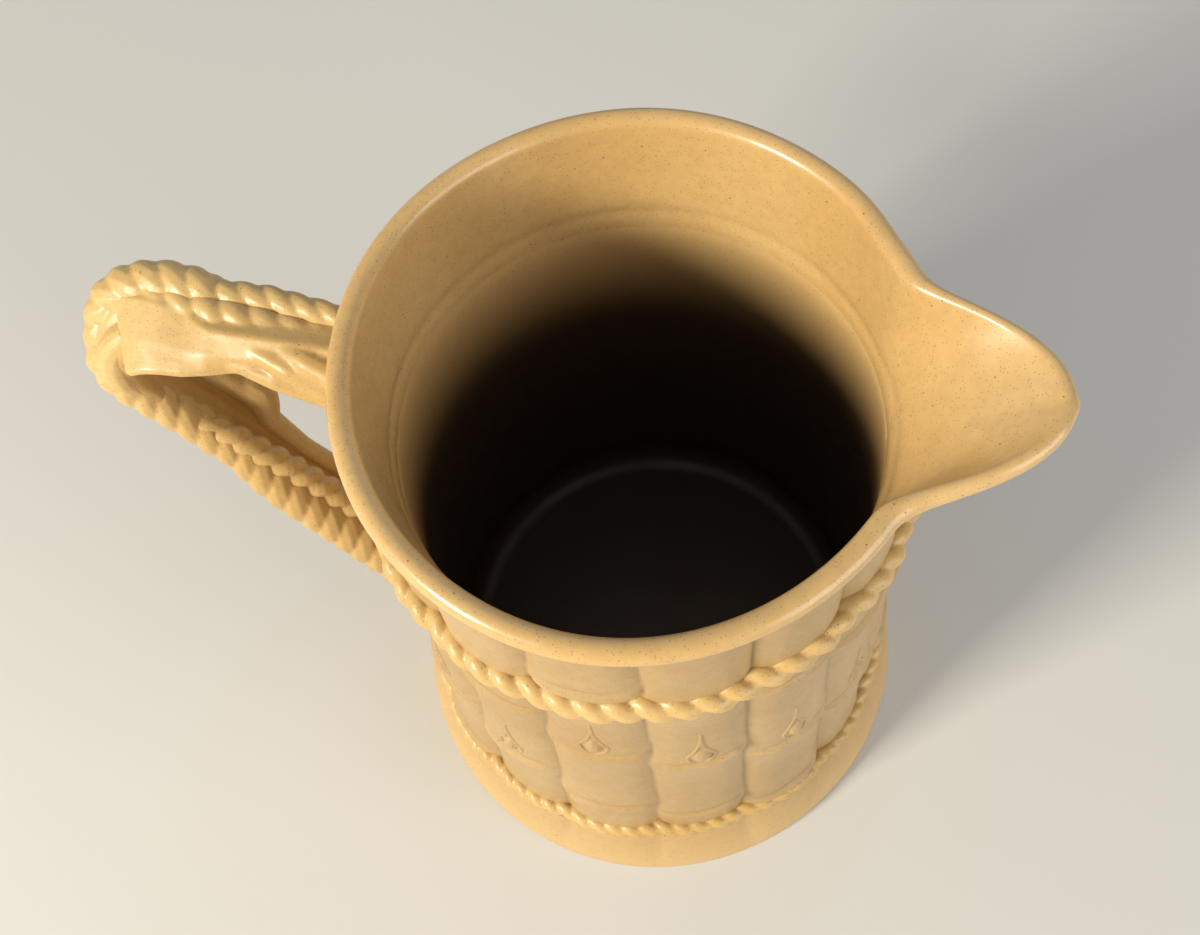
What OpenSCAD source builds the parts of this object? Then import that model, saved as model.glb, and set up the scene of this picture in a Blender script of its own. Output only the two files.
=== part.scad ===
// Stoneware pitcher with a bamboo-cane body, two rope bands, a pulled lip and a rope handle.
// Millimetres, Z up. The origin is the centre of the foot on the vessel's axis.
// +X points to the lip, -X to the handle, and -Y is the near side.

/* [Body] */
// Height from the table to the top of the rim
body_h = 157; // [140:1:180]
// Radius over the crests of the canes, below the rim
cane_r = 57.5; // [56:0.5:62]
// How much further out the canes stand at the foot
body_flare = 2.6; // [1:0.2:6]
// Distance from the rim down to where the canes start to spread
flare_drop = 57; // [45:1:70]
// Number of canes round the body
cane_count = 16; // [12:2:20]
// Depth of the grooves between the canes
groove_depth = 1.8; // [1:0.1:2.4]
// Thickness of the wall at the bottom of the grooves
wall_t = 4.7; // [3:0.1:6]
// Distance from the rim down to the neck, where the bore starts to flare
neck_drop = 29; // [22:1:40]

/* [Foot] */
// How far the foot spreads past the canes
foot_spread = 5.25; // [2:0.25:8]
// Height of the foot's upright edge
foot_edge = 2.5; // [1.5:0.1:4]
// Height of the joint between foot and wall
foot_h = 15; // [12:0.5:18]
// Width of the ledge round the canes on top of the foot
foot_ledge = 1; // [0.2:0.1:2]
// Thickness of the floor
floor_t = 9; // [6:0.5:10]

/* [Rim and lip] */
// How far the rolled rim stands out past the canes
rim_out = 2; // [1:0.1:4]
// Thickness of the rolled rim
rim_t = 5; // [4:0.1:6]
// Height of the rim collar
collar_h = 9; // [7:0.5:12]
// How far the lip reaches past the rim
lip_reach = 22.5; // [12:0.5:30]
// How far the tip of the lip rises above the rim
lip_rise = 4; // [0:0.5:8]
// Half angle over which the lip swells out of the rim
lip_angle = 24.5; // [18:0.5:30]
// Distance from the rim down to where the lip starts
lip_drop = 27; // [23:0.5:32]

/* [Ropes] */
// Radius of a rope band's cord
rope_r = 3.1; // [2.4:0.1:3.8]
// Distance from the rim down to the middle of the upper rope
upper_rope_drop = 37; // [32:0.5:42]
// Distance from the joint of the foot up to the middle of the lower rope
lower_rope_rise = 4; // [2:0.5:8]

/* [Cane relief] */
// Distance from the upper rope down to the lowest of the middle rings
ring_drop = 63; // [56:1:70]
// Distance between the rings of one cane
ring_pitch = 42; // [36:1:50]
// Step in ring height from one cane to the next
ring_step = 9; // [4:0.5:10]
// Width of a ring along its cane
ring_w = 1.6; // [1:0.1:2.4]
// How far a ring stands out of its cane
ring_relief = 0.7; // [0.4:0.1:1]
// Radius of the ball that forms a bud
bud_r = 3.4; // [2.6:0.1:4.5]
// How far a bud stands out of its cane
bud_relief = 1.1; // [0.6:0.1:1.6]
// Height of a bud above its ring
bud_rise = 6.5; // [5:0.5:10]

/* [Handle] */
// Distance from the rim down to the middle of the upper limb
handle_drop = 18; // [16:0.5:24]
// Distance from the canes out to the middle of the outer turn
handle_out = 56; // [48:1:68]
// Radius of the outer turn, along the middle of the handle
turn_r = 14; // [12:0.5:18]
// Height at which the middle of the lower limb meets the wall
root_z = 45.5; // [36:0.5:64]
// Width of the smooth web
web_w = 17; // [12:0.5:18]
// Thickness of the smooth web
web_t = 6; // [6:0.5:9]
// Radius of the two ropes along the outer edges
edge_rope_r = 5; // [4.4:0.1:5.6]
// How far the strands bulge out of the sides of the lower limb
strand_bulge = 5.5; // [3:0.1:7]
// Distance along the lower limb at which the near strand starts
near_strand_start = 22; // [6:1:30]
// Distance along the lower limb at which the far strand ends in its knot
knot_at = 32; // [20:1:40]
// How far the knot bulges out
knot_bulge = 7.5; // [6:0.1:9]

/* [Hidden] */
$fn = 96;
// How far a cutting shape runs past what it cuts
cut_over = 1;
big = 400;

// Angle between canes, and the cylinder that forms each cane
cane_step = 360 / cane_count;
groove_r = cane_r - groove_depth;
cane_sink = cane_r - groove_r * cos(cane_step / 2);
cane_half = groove_r * sin(cane_step / 2);
cane_rad = (cane_sink * cane_sink + cane_half * cane_half) / (2 * cane_sink);
cane_c = cane_r - cane_rad;

// Radii that follow the canes
bore_r = groove_r - wall_t;
low_bore_r = bore_r + body_flare;
foot_joint_r = cane_r + body_flare;
foot_r = foot_joint_r + foot_spread;
foot_neck_r = foot_joint_r + foot_ledge;
rim_r = cane_r + rim_out;

// Heights of the seams
collar_z = body_h - collar_h;
neck_z = body_h - neck_drop;
flare_z = body_h - flare_drop;
upper_rope_z = body_h - upper_rope_drop;
lower_rope_z = foot_h + lower_rope_rise;
// Height either side of a handle root that is kept free of rings
root_clear = 20;
lip_z = body_h - lip_drop;
roll_r = rim_t / 2;
roll_z = body_h - roll_r;
rim_in_r = rim_r - rim_t;

// Half angle that the lip takes out of the rim, and the steps of its skin
margin_angle = 2;
lip_half = lip_angle + margin_angle;
lip_cols = 20;
lip_rows = 7;
roll_steps = 5;
lip_curve = 1.5;
lip_square = 2;

// Rounding of the foot's lower edge, and the steps and fullness of its flare
foot_round = 1.1;
foot_steps = 8;
foot_full = 1.35;

// Middle line of the handle: level upper limb, round turn, straight lower limb.
// Both limbs run on past the wall, where the vessel cuts them off.
root_depth = 10;
seat_r = bore_r - root_depth;
turn_x = turn_r - cane_r - handle_out;
limb_z = body_h - handle_drop;
turn_z = limb_z - turn_r;
turn_to_root = [-cane_r_at(root_z) - turn_x, root_z - turn_z];
turn_end = 360 + atan2(turn_to_root[1], turn_to_root[0]) - acos(turn_r / norm(turn_to_root));
turn_angle = turn_end - 90;
upper_len = -turn_x - seat_r;
turn_len = turn_r * turn_angle * PI / 180;
lower_from = upper_len + turn_len;
lower_len = (seat_r + turn_x + turn_r * cos(turn_end)) / sin(turn_end);
handle_len = lower_from + lower_len;
turn_steps = 14;
bend = [for (i = [0:turn_steps]) upper_len + turn_len * i / turn_steps];
whole_run = concat([0], bend, [handle_len]);

// Middles of the edge ropes' arcs, which start on the sides of the web
edge_lap = 0.3;
edge_side = edge_rope_r - edge_lap;
edge_out = sqrt(pow(edge_rope_r, 2) - pow(web_w / 2 - edge_side, 2));
edge_steps = 10;
edge_from = atan2(web_w / 2 - edge_side, -edge_out);
edge_to = -asin(edge_side / edge_rope_r);

// A strand leans on the web below and on the edge rope above
strand_steps = 8;
strand_seat = 2;
strand_taper = 10;
// Shares of a strand's bulge at its end and where it swells
strand_tip = strand_bulge * 0.3;
strand_swell = strand_bulge * 0.75;

// Radius over the crests of the canes at a height: spreading towards the foot
function cane_r_at(z) =
    z >= flare_z ? cane_r : cane_r + body_flare * (flare_z - z) / (flare_z - foot_h);

// Radius of the bore at a height: straight up to the neck, then flaring to the rim
function bore_at(z) =
    z <= neck_z ? bore_r : bore_r + (rim_in_r - bore_r) * (z - neck_z) / (roll_z - neck_z);

// Outline of the foot's flare, from its upright edge up to the canes
function foot_flare(t) = [
    foot_r - (foot_r - foot_neck_r) * pow(t, foot_full), foot_edge + (foot_h - foot_edge) * t
];

// Swell of the lip at an angle from its middle, from 1 at the tip to 0 on the plain rim
function swell(a) = abs(a) < lip_angle ? pow(1 - pow(a / lip_angle, 2), lip_square) : 0;

function edge_r(a) = rim_r + lip_reach * swell(a);
function edge_z(a) = body_h + lip_rise * swell(a);

// Closed outline of the lip at one angle: up the outside, over the roll, down the inside
function lip_section(a) = let (r1 = edge_r(a), z1 = edge_z(a) - roll_r) concat(
    [for (i = [0:lip_rows]) let (t = i / lip_rows)
        [cane_r + (r1 - cane_r) * pow(t, lip_curve), lip_z + (z1 - lip_z) * t]],
    [for (i = [1:roll_steps - 1]) let (b = 180 * i / roll_steps)
        [r1 - roll_r + roll_r * cos(b), z1 + roll_r * sin(b)]],
    [for (i = [0:lip_rows]) let (t = 1 - i / lip_rows, r0 = bore_at(lip_z))
        [r0 + (r1 - rim_t - r0) * pow(t, lip_curve), lip_z + (z1 - lip_z) * t]]);

// Height of ring k on cane i, where ring 0 is the middle one, and where there is room for it
function ring_z(i, k) =
    upper_rope_z - ring_drop + ring_pitch * k + ring_step * ((3 * i + 3) % 4);
function clear_of(z, band, room) = abs(z - band) > room;
function by_handle(i) = abs(i - cane_count / 2) <= 1;
function ring_fits(i, z) =
    z > lower_rope_z + rope_r + ring_w && z < collar_z - 2 * ring_w &&
    clear_of(z, upper_rope_z, rope_r + ring_w) &&
    (!by_handle(i) || clear_of(z, root_z, root_clear) && clear_of(z, limb_z, root_clear));

// Point on the handle at a distance along its middle line, for a section point [out, near]
function turn_to(a, p) = let (r = turn_r + p[0]) [turn_x + r * cos(a), -p[1], turn_z + r * sin(a)];
function handle_at(d, p) =
    d <= upper_len ? turn_to(90, p) + [upper_len - d, 0, 0] :
    d <= lower_from ? turn_to(90 + turn_angle * (d - upper_len) / turn_len, p) :
    turn_to(turn_end, p) + (d - lower_from) * [-sin(turn_end), 0, cos(turn_end)];

// Sections of the handle, with side 1 for near and -1 for far
function web_end(a) = [web_t / 2 * cos(a), (web_w - web_t) / 2 + web_t / 2 * sin(a)];
function edge_arc(k) = let (a = edge_from + (edge_to - edge_from) * k / edge_steps)
    [edge_out + edge_rope_r * cos(a), edge_side + edge_rope_r * sin(a)];
function to_side(points, side) =
    side > 0 ? points : [for (i = [len(points) - 1:-1:0]) [points[i][0], -points[i][1]]];
web_half = concat([[web_t / 2, 0]], [for (a = [0:30:180]) web_end(a)]);
web_outline = concat(
    web_half, [[-web_t / 2, 0]],
    [for (a = [180:-30:0]) let (p = web_end(a)) [p[0], -p[1]]]);
function edge_outline(side) = to_side(concat(
    [for (a = [60:-30:0]) web_end(a)], [[web_t / 2, 0]],
    [for (k = [edge_steps:-1:0]) edge_arc(k)]), side);

// Arc of a strand that bulges by a given height over the chord between its two seats
function strand_arc(bulge) =
    let (
        low = web_end(150), high = edge_arc(strand_seat), chord = high - low,
        r = (chord * chord / 4 + bulge * bulge) / (2 * bulge),
        lean = atan2(chord[1], chord[0]) + 90,
        centre = (low + high) / 2 + (bulge - r) * [cos(lean), sin(lean)],
        half = asin(norm(chord) / 2 / r),
        sweep = bulge > r ? 180 - half : half
    )
    [for (k = [0:strand_steps]) let (a = lean + sweep * (1 - 2 * k / strand_steps))
        centre + r * [cos(a), sin(a)]];
function strand_outline(bulge, side) = to_side(concat(
    [web_end(120)], strand_arc(bulge), [for (k = [strand_seat - 1:-1:0]) edge_arc(k)]), side);

// Closed skin over a row of rings with equal numbers of points
module skin(rings) {
    n = len(rings[0]);
    last = len(rings) - 1;
    points = [for (ring = rings) each ring];
    sides = [for (j = [0:last - 1]) for (i = [0:n - 1])
        let (a = j * n + i, b = j * n + (i + 1) % n)
        each [[a, b, a + n], [b, b + n, a + n]]];
    caps = [[for (i = [n - 1:-1:0]) i], [for (i = [0:n - 1]) last * n + i]];
    polyhedron(points, concat(sides, caps), convexity = 8);
}

// Outline of the bundle of canes
module cane_outline() {
    circle(groove_r - groove_depth);
    for (i = [0:cane_count - 1])
        rotate(i * cane_step)
            translate([cane_c, 0])
                circle(cane_rad);
}

// The bundle of canes as one filled solid, from the foot to the rim collar
module cane_bundle() {
    translate([0, 0, flare_z])
        linear_extrude(collar_z - flare_z)
            cane_outline();
    translate([0, 0, foot_h])
        linear_extrude(flare_z - foot_h, scale = cane_r / foot_joint_r)
            scale(foot_joint_r / cane_r)
                cane_outline();
}

// Node rings of the canes, as discs to be joined to the bundle
module cane_rings() {
    for (i = [0:cane_count - 1])
        for (k = [-1:1])
            if (ring_fits(i, ring_z(i, k))) {
                spread = cane_r_at(ring_z(i, k)) / cane_r;
                rotate(i * cane_step)
                    translate([cane_c * spread, 0, ring_z(i, k) - ring_w / 2])
                        cylinder(r = cane_rad * spread + ring_relief, h = ring_w);
            }
}

// Space inside the vessel above the floor
module bore() {
    rotate_extrude()
        polygon([
            [0, foot_h - cut_over], [low_bore_r, foot_h - cut_over], [low_bore_r, foot_h],
            [bore_r, flare_z], [bore_r, neck_z], [bore_at(body_h), body_h], [0, body_h]
        ]);
}

// Wedge that the lip takes out of the wall
module lip_notch() {
    translate([0, 0, lip_z])
        linear_extrude(body_h)
            polygon([[0, 0], [big, -big * tan(lip_half)], [big, big * tan(lip_half)]]);
}

module wall_half(side) {
    difference() {
        union() {
            cane_bundle();
            cane_rings();
        }
        bore();
        lip_notch();
        translate([-big, side > 0 ? -2 * big : 0, -big])
            cube(2 * big);
    }
}

module near_wall() {
    color("burlywood")
        wall_half(-1);
}

module far_wall() {
    color("burlywood")
        wall_half(1);
}

// Floor slab with the spreading foot and a rounded corner inside
module base_foot() {
    corner = foot_h - floor_t;
    color("tan")
        rotate_extrude()
            difference() {
                union() {
                    polygon(concat(
                        [[0, 0], [foot_r - foot_round, 0], [foot_r - foot_round, foot_round], [foot_r, foot_round]],
                        [for (i = [0:foot_steps]) foot_flare(i / foot_steps)], [[0, foot_h]]));
                    translate([foot_r - foot_round, foot_round])
                        circle(foot_round);
                }
                translate([0, floor_t])
                    square([low_bore_r - corner, corner + cut_over]);
                translate([low_bore_r - corner, foot_h])
                    circle(corner);
            }
}

// Section of the rim collar: a flaring strip with a rolled edge
module collar_section() {
    translate([rim_r - roll_r, roll_z])
        circle(roll_r);
    polygon([
        [bore_at(collar_z), collar_z], [cane_r, collar_z],
        [rim_r, roll_z], [rim_in_r, roll_z]
    ]);
}

module rim_collar() {
    color("wheat")
        rotate(lip_half)
            rotate_extrude(angle = 360 - 2 * lip_half)
                collar_section();
}

module pouring_lip() {
    color("wheat")
        skin([for (j = [0:lip_cols])
            let (a = lip_half * (2 * j / lip_cols - 1))
            [for (p = lip_section(a)) [p[0] * cos(a), p[0] * sin(a), p[1]]]]);
}

module rope_ring(z) {
    rotate_extrude()
        translate([cane_r_at(z), z])
            circle(rope_r);
}

module upper_rope() {
    color("navajowhite")
        difference() {
            rope_ring(upper_rope_z);
            cane_bundle();
        }
}

module lower_rope() {
    color("navajowhite")
        difference() {
            rope_ring(lower_rope_z);
            cane_bundle();
            base_foot();
        }
}

// Buds above the middle ring of every cane but the one behind the handle
module cane_buds() {
    color("navajowhite")
        difference() {
            for (i = [0:cane_count - 1])
                if (i != cane_count / 2) {
                    z = ring_z(i, 0) + bud_rise;
                    rotate(i * cane_step)
                        translate([cane_r_at(z) + bud_relief - bud_r, 0, z])
                            sphere(bud_r);
                }
            cane_bundle();
        }
}

// Sweeps one section along the whole handle
module along_handle(section) {
    skin([for (d = whole_run) [for (p = section) handle_at(d, p)]]);
}

// What the handle is luted to, so that its roots end on the wall
module vessel_mass() {
    cylinder(r = foot_neck_r, h = foot_h);
    cane_bundle();
    rotate_extrude()
        collar_section();
}

module handle_web() {
    color("burlywood")
        difference() {
            along_handle(web_outline);
            vessel_mass();
        }
}

module edge_rope(side) {
    difference() {
        along_handle(edge_outline(side));
        vessel_mass();
    }
}

module handle_near_rope() {
    color("navajowhite")
        edge_rope(1);
}

module handle_far_rope() {
    color("navajowhite")
        edge_rope(-1);
}

// Strand on one side of the lower limb, from a list of [distance, bulge]
module side_strand(side, stations) {
    skin([for (q = stations) [for (p = strand_outline(q[1], side)) handle_at(lower_from + q[0], p)]]);
}

// Strand on the near side, from under the turn down to the vessel
module handle_near_strand() {
    color("wheat")
        difference() {
            side_strand(1, [
                [near_strand_start, strand_tip],
                [near_strand_start + strand_taper / 3, strand_swell],
                [near_strand_start + strand_taper, strand_bulge],
                [lower_len, strand_bulge]
            ]);
            vessel_mass();
        }
}

// Strand on the far side, from the turn down to its knot
module handle_far_strand() {
    color("wheat")
        side_strand(-1, [
            [0, strand_tip],
            [strand_taper, strand_swell],
            [knot_at - strand_taper, strand_bulge],
            [knot_at - strand_taper / 2, knot_bulge],
            [knot_at - strand_taper / 5, strand_bulge],
            [knot_at, strand_tip]
        ]);
}

base_foot();
near_wall();
far_wall();
rim_collar();
pouring_lip();
upper_rope();
lower_rope();
cane_buds();
handle_web();
handle_near_rope();
handle_far_rope();
handle_near_strand();
handle_far_strand();
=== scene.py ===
import math

import bpy
import numpy as np
from mathutils import Matrix, Vector


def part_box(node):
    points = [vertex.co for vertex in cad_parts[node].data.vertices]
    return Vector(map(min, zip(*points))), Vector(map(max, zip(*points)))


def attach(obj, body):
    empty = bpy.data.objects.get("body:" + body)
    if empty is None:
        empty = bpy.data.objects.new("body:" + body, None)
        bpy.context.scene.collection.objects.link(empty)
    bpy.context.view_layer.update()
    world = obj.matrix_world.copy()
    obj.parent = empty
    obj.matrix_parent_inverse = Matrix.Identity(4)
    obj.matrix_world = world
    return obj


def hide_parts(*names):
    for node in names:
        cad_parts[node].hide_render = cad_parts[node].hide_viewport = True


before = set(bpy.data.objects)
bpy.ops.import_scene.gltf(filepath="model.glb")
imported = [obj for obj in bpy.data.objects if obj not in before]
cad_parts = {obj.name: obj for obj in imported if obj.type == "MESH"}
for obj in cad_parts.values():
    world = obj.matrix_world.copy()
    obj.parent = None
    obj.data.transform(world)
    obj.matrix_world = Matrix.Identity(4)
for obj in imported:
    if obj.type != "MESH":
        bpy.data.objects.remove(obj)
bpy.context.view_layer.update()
mm = 0.001
print("frame loaded,", len(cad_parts), "nodes")


# small helpers

def clearSelection():
    bpy.ops.object.select_all(action="DESELECT")


def readPoints(piece):
    flat = np.empty(len(piece.data.vertices) * 3)
    piece.data.vertices.foreach_get("co", flat)
    return flat.reshape(-1, 3)


def writePoints(piece, points):
    piece.data.vertices.foreach_set("co", np.asarray(points, dtype=float).ravel())
    piece.data.update()


def writeMask(piece, name, values):
    mask = piece.data.attributes.new(name, "FLOAT", "POINT")
    mask.data.foreach_set("value", np.asarray(values, dtype=np.float32))


def bakeModifier(piece, kind, **settings):
    bpy.context.view_layer.objects.active = piece
    modifier = piece.modifiers.new(kind.lower(), kind)
    for key, value in settings.items():
        setattr(modifier, key, value)
    bpy.ops.object.modifier_apply(modifier=modifier.name)


# smooth shading, apart from edges sharper than an angle in degrees
def smoothFaces(piece, sharp):
    clearSelection()
    piece.select_set(True)
    bpy.ops.object.shade_smooth_by_angle(angle=math.radians(sharp))


def polar(points):
    return np.hypot(points[:, 0], points[:, 1]), np.arctan2(points[:, 1], points[:, 0])


def fromPolar(radius, angle, height):
    return np.stack([radius * np.cos(angle), radius * np.sin(angle), height], axis=1)


def smoothStep(low, high, x):
    t = np.clip((x - low) / (high - low), 0, 1)
    return t * t * (3 - 2 * t)


# one soft hump: place and half width in the units of x
def hump(x, place, half):
    return np.exp(-((x - place) / half) ** 2)


# lathe work: a loop of points is set along the section and spun round the jug's axis
def spinSection(name, section, steps):
    clearSelection()
    bpy.ops.mesh.primitive_circle_add(vertices=len(section), radius=1 * mm)
    piece = bpy.context.object
    piece.name = name
    section = np.asarray(section)
    writePoints(piece, np.stack([section[:, 0], 0 * section[:, 0], section[:, 1]], axis=1))
    bpy.ops.object.mode_set(mode="EDIT")
    bpy.ops.mesh.select_all(action="SELECT")
    bpy.ops.mesh.spin(steps=steps, angle=2 * math.pi, center=(0, 0, 0), axis=(0, 0, 1))
    bpy.ops.mesh.select_all(action="SELECT")
    bpy.ops.mesh.remove_doubles(threshold=0.001 * mm)
    bpy.ops.mesh.normals_make_consistent(inside=False)
    bpy.ops.object.mode_set(mode="OBJECT")
    return piece


# which point of the section each spun point came from
def sectionRow(points, section):
    radius, _ = polar(points)
    section = np.asarray(section)
    gap = np.abs(radius[:, None] - section[:, 0]) + np.abs(points[:, 2:3] - section[:, 1])
    return gap.argmin(axis=1)


# clay rolls: bevelled curves, each point with its own radius
def rollClay(name, runs, closed=False):
    clearSelection()
    bpy.ops.curve.primitive_nurbs_path_add()
    curve = bpy.context.object.data
    curve.splines.clear()
    curve.bevel_depth = 1
    curve.bevel_resolution = 4
    curve.use_fill_caps = not closed
    for points, radii in runs:
        spline = curve.splines.new("POLY")
        spline.points.add(len(points) - 1)
        spline.points.foreach_set("co", np.column_stack([points, np.ones(len(points))]).ravel())
        spline.points.foreach_set("radius", np.asarray(radii, dtype=float))
        spline.use_cyclic_u = closed
    bpy.ops.object.convert(target="MESH")
    piece = bpy.context.object
    piece.name = name
    return piece


# joins overlapping rolls into one skin and wears the edges down
def fuseClay(piece, voxel, wear):
    bakeModifier(piece, "REMESH", mode="VOXEL", voxel_size=voxel)
    bakeModifier(piece, "SMOOTH", factor=0.5, iterations=wear)
    bpy.ops.object.shade_smooth()


# glazed clay: buff body colour, honey in the hollows, pale on the worn edges, iron specks

clay = {
    "cloud": 22,             # noise scales, in features per metre
    "grain": 420,
    "glossPatch": 60,
    "dent": 95,
    "fineDent": 700,
    "noiseRough": 0.55,
    "grainShare": 0.16,
    "grainTone": 0.62,       # times the honey colour
    "poolShare": 0.65,
    "poolTone": 0.5,         # times the honey colour
    "wornShare": 0.3,
    "wornTone": 1.08,        # times the pale colour
    "fineSpeck": (1500, 0.26),     # scale and size in cells
    "coarseSpeck": (520, 0.14),
    "coarseKeep": 0.3,       # coarse specks kept, as a share of the fine ones kept
    "speckTone": (0.085, 0.04, 0.016),
    "bareRough": 0.75,
    "bumpStrength": 0.22,
    "bumpDepth": 0.6 * mm,
}


def glazedClay(name, pale, honey, specks, shine, paintedShadeTone=None, paleGlazeAndBounceTone=None, bareTone=None):
    material = bpy.data.materials.new(name)
    material.use_nodes = True
    nodes, links = material.node_tree.nodes, material.node_tree.links
    shader = nodes["Principled BSDF"]
    place = nodes.new("ShaderNodeTexCoord").outputs["Object"]

    def noise(scale, detail):
        node = nodes.new("ShaderNodeTexNoise")
        node.inputs["Scale"].default_value = scale
        node.inputs["Detail"].default_value = detail
        node.inputs["Roughness"].default_value = clay["noiseRough"]
        links.new(place, node.inputs["Vector"])
        return node.outputs["Fac"]

    def spread(value, low, high, to0=0.0, to1=1.0):
        node = nodes.new("ShaderNodeMapRange")
        node.interpolation_type = "SMOOTHSTEP"
        node.inputs["From Min"].default_value = low
        node.inputs["From Max"].default_value = high
        node.inputs["To Min"].default_value = to0
        node.inputs["To Max"].default_value = to1
        links.new(value, node.inputs["Value"])
        return node.outputs["Result"]

    def combine(kind, a, b):
        node = nodes.new("ShaderNodeMath")
        node.operation = kind
        for socket, value in zip(node.inputs, (a, b)):
            if isinstance(value, (int, float)):
                socket.default_value = value
            else:
                links.new(value, socket)
        return node.outputs["Value"]

    def paint(share, under, over):
        node = nodes.new("ShaderNodeMix")
        node.data_type = "RGBA"
        for socket, value in ((0, share), (6, under), (7, over)):    # factor, then the two colours
            if isinstance(value, tuple):
                node.inputs[socket].default_value = (*value, 1)
            else:
                links.new(value, node.inputs[socket])
        return node.outputs[2]

    def speckle(scale, size, keep):
        node = nodes.new("ShaderNodeTexVoronoi")
        node.inputs["Scale"].default_value = scale
        links.new(place, node.inputs["Vector"])
        split = nodes.new("ShaderNodeSeparateColor")
        links.new(node.outputs["Color"], split.inputs["Color"])
        dot = spread(node.outputs["Distance"], size, size * 0.45)
        return combine("MULTIPLY", dot, combine("LESS_THAN", split.outputs["Red"], keep))

    def mask(attribute):
        node = nodes.new("ShaderNodeAttribute")
        node.attribute_name = attribute
        return node.outputs["Fac"]

    def shade(tone, share):
        return tuple(min(1, share * c) for c in tone)

    # cloudy body colour
    cloud = spread(noise(clay["cloud"], 3), 0.35, 0.68)
    colour = paint(cloud, pale, honey)
    grain = spread(noise(clay["grain"], 2), 0.3, 0.7, 0.0, clay["grainShare"])
    colour = paint(grain, colour, shade(honey, clay["grainTone"]))
    # glaze pools in the hollows and thins on the edges
    point = nodes.new("ShaderNodeNewGeometry").outputs["Pointiness"]
    pool = spread(point, 0.495, 0.45, 0.0, clay["poolShare"])
    colour = paint(pool, colour, shade(honey, clay["poolTone"]))
    worn = spread(point, 0.52, 0.6, 0.0, clay["wornShare"])
    colour = paint(worn, colour, shade(pale, clay["wornTone"]))
    # iron specks, fine and coarse, over the tones that a piece's own masks give
    fine = speckle(*clay["fineSpeck"], specks)
    coarse = speckle(*clay["coarseSpeck"], specks * clay["coarseKeep"])
    dots = combine("MAXIMUM", combine("MULTIPLY", fine, 0.55), combine("MULTIPLY", coarse, 0.7))
    # paler tone: the rim's glaze tone carried into the bore, and painted bounce light on the foot
    if paleGlazeAndBounceTone:
        colour = paint(mask("thin"), colour, paleGlazeAndBounceTone)
    # painted shade inside the jug, carried by the "inside" mask
    if paintedShadeTone:
        colour = paint(mask("inside"), colour, paintedShadeTone)
    if bareTone:
        bare = mask("bare")
        colour = paint(bare, colour, bareTone)
    colour = paint(dots, colour, clay["speckTone"])
    links.new(colour, shader.inputs["Base Color"])

    polish = 0.3 * shine
    gloss = spread(noise(clay["glossPatch"], 4), 0.3, 0.75, 0.48 - polish, 0.62 - polish)
    if bareTone:
        gloss = combine("MAXIMUM", gloss, combine("MULTIPLY", bare, clay["bareRough"]))
    links.new(gloss, shader.inputs["Roughness"])
    shader.inputs["Coat Weight"].default_value = 0.4 * shine
    shader.inputs["Coat Roughness"].default_value = 0.26 - 0.2 * shine
    shader.inputs["IOR"].default_value = 1.45

    # soft unevenness under the glaze, with a pit at each speck
    dents = combine("MULTIPLY", noise(clay["dent"], 3), 0.7)
    fineDents = combine("MULTIPLY", noise(clay["fineDent"], 2), 0.1)
    pits = combine("MULTIPLY", dots, 0.12)
    height = combine("SUBTRACT", combine("ADD", dents, fineDents), pits)
    bump = nodes.new("ShaderNodeBump")
    bump.inputs["Strength"].default_value = clay["bumpStrength"]
    bump.inputs["Distance"].default_value = clay["bumpDepth"]
    links.new(height, bump.inputs["Height"])
    links.new(bump.outputs["Normal"], shader.inputs["Normal"])
    return material


def finishPiece(piece, material, slot, *nodes):
    piece.data.materials.clear()
    piece.data.materials.append(material)
    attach(piece, "root")
    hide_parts(*nodes)
    print(piece.name, "done,", len(piece.data.polygons), "faces")


# painted shade: a near-black brown that stands in for the shade deep inside the jug
paintedShadeTone = (0.055, 0.034, 0.018)
bodyGlaze = glazedClay("bodyGlaze", pale=(0.465, 0.315, 0.145), honey=(0.42, 0.27, 0.112),
                       specks=0.35, shine=0.25, paintedShadeTone=paintedShadeTone,
                       paleGlazeAndBounceTone=(0.64, 0.42, 0.175), bareTone=(0.62, 0.5, 0.33))
rimGlaze = glazedClay("rimGlaze", pale=(0.65, 0.43, 0.183), honey=(0.59, 0.37, 0.14),
                      specks=0.55, shine=0.75, paintedShadeTone=paintedShadeTone)
ropeGlaze = glazedClay("ropeGlaze", pale=(0.62, 0.415, 0.165), honey=(0.52, 0.325, 0.105),
                       specks=0.6, shine=0.3)
# painted shade: the strap on the loop's inner face gets a darker, more orange glaze than the ropes,
# standing in for the shade and bounce light there
paintedShadeStrapGlaze = glazedClay("paintedShadeStrapGlaze", pale=(0.52, 0.31, 0.1), honey=(0.42, 0.24, 0.065),
                         specks=0.5, shine=0.2)
print("glazes mixed")


# vessel sizes, from the frame where it has them

rimLow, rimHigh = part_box("rim_collar")
_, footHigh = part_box("base_foot")
vessel = {
    "columns": 512,
    "rimTop": rimHigh.z,
    "rimRadius": -rimLow.x,
    "rimThick": 5 * mm,
    "footRadius": footHigh.x,
    "footTop": footHigh.z,
    "bore": 51 * mm,
    "neck": 126.5 * mm,      # where the bore starts to flare
    "seam": 150.3 * mm,      # where the canes tuck under the rim
    "seamDrop": 20.6 * mm,   # how far the seam dips under the lip
    "seamFlank": 28,         # degrees from the lip's middle
    "seamRound": 1.3,        # a higher power gives a narrower dip
    "lipTurn": 0.6,          # degrees the lip stands off the handle's line
    "sharp": 50,             # degrees past which an edge of wall and rim stays sharp
    # painted shade inside the jug, deepening downwards in two steps: share, from this height, to this
    # height
    "paintedShadeSteps": ((0.25, 130 * mm, 114 * mm), (0.75, 122 * mm, 88 * mm)),
}


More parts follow.
